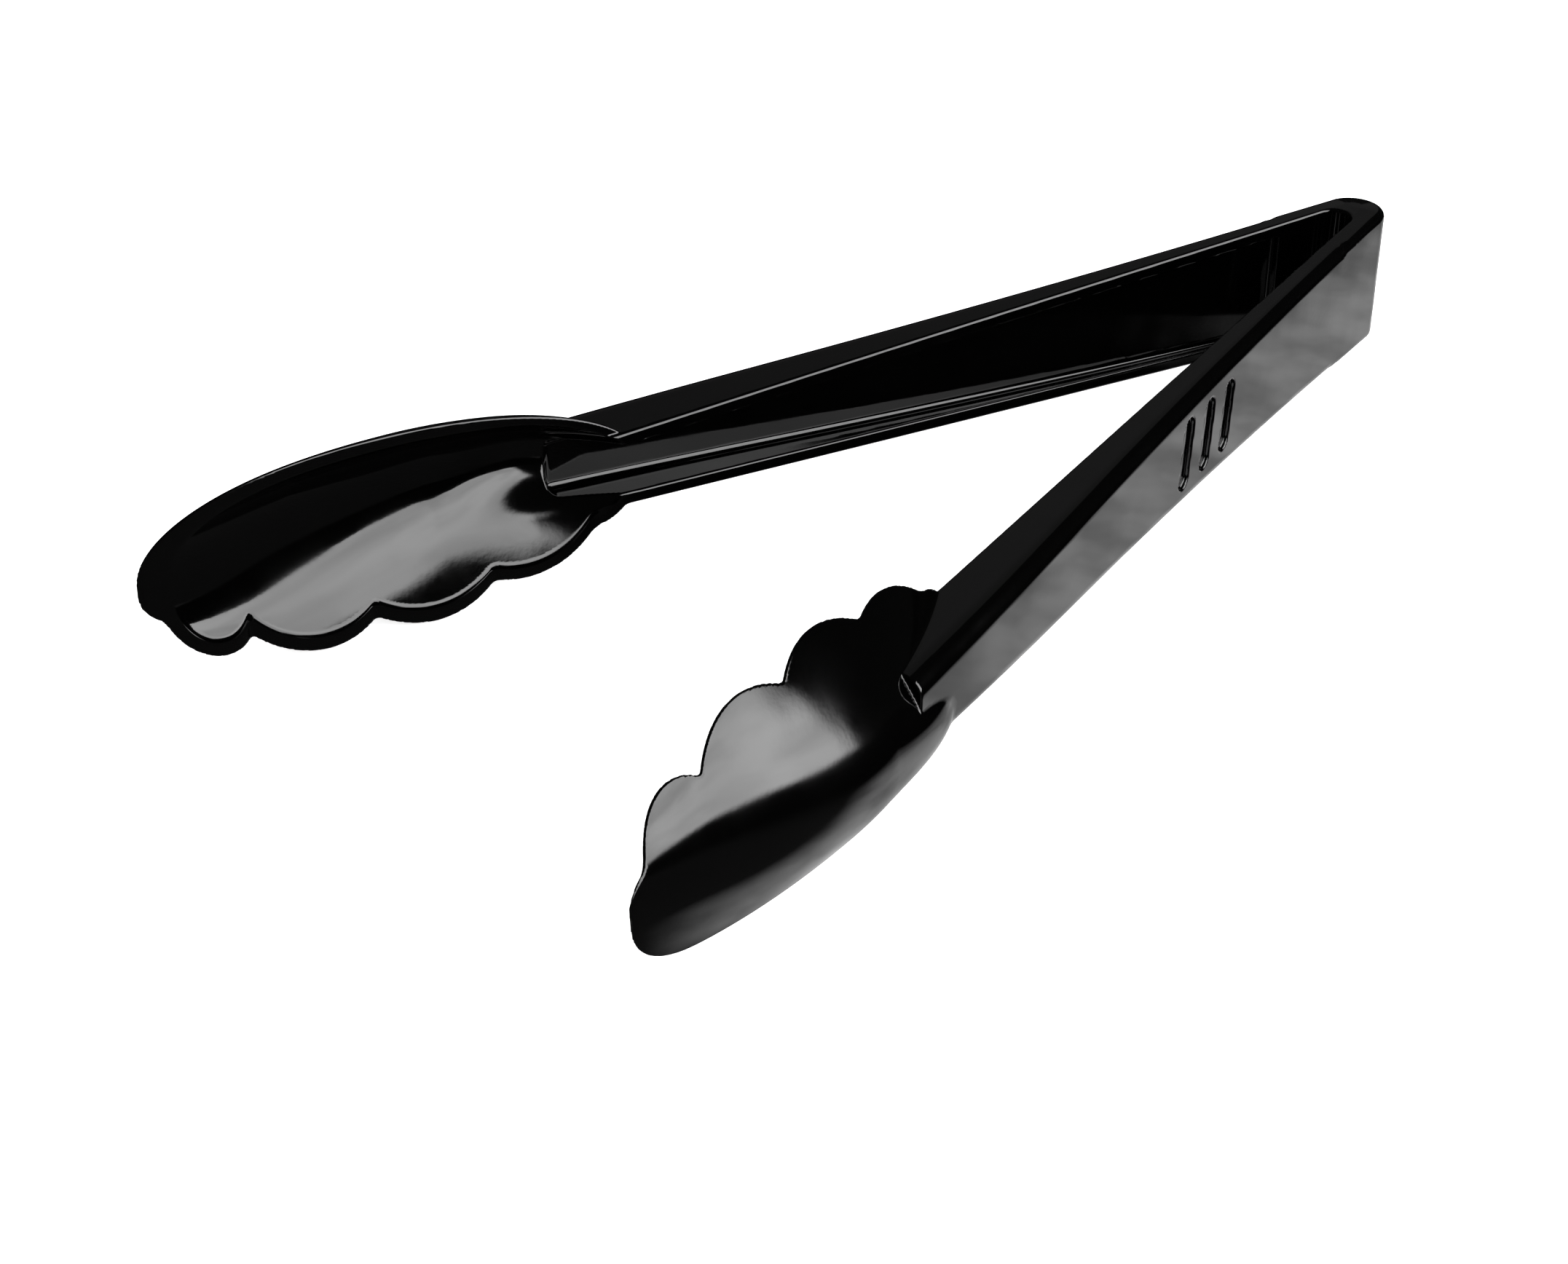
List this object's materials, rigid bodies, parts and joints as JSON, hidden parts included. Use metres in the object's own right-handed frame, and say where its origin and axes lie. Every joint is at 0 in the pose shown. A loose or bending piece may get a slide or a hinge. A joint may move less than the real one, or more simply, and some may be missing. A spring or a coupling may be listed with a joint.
{
  "type": "serving tongs",
  "caption": "Spring serving tongs in glossy black plastic, with a round bow, tapering channel arms with grip grooves, and bowls with one scalloped and one plain edge each.",
  "frame": {"origin": "centre of the crown's lower edge face", "axes": "+X from the bow towards the tips along the centre plane, +Y towards the left arm, +Z across the width of the arms"},
  "size_m": [0.2955, 0.146, 0.0458],
  "materials": {
    "moulded_plastic": "glossy black moulded polycarbonate, smooth with faint flow marks"
  },
  "bodies": {
    "bow": {"spring_bow": "moulded_plastic"},
    "left": {"left_arm": "moulded_plastic", "left_bowl": "moulded_plastic"},
    "right": {"right_arm": "moulded_plastic", "right_bowl": "moulded_plastic"}
  },
  "joints": [
    {"name": "left_squeeze", "type": "hinge", "parent": "bow", "child": "left", "pos_m": [0.01243, 0.00751, 0.0163], "axis": [0, 0, -1], "range_deg": [-4, 13.2], "stiffness_Nm_per_rad": 1.5},
    {"name": "right_squeeze", "type": "hinge", "parent": "bow", "child": "right", "pos_m": [0.01243, -0.00751, 0.0163], "axis": [0, 0, 1], "range_deg": [-4, 13.2], "stiffness_Nm_per_rad": 1.5}
  ],
  "couplings": [
    {"joint": "right_squeeze", "follows": "left_squeeze", "ratio": 1}
  ]
}
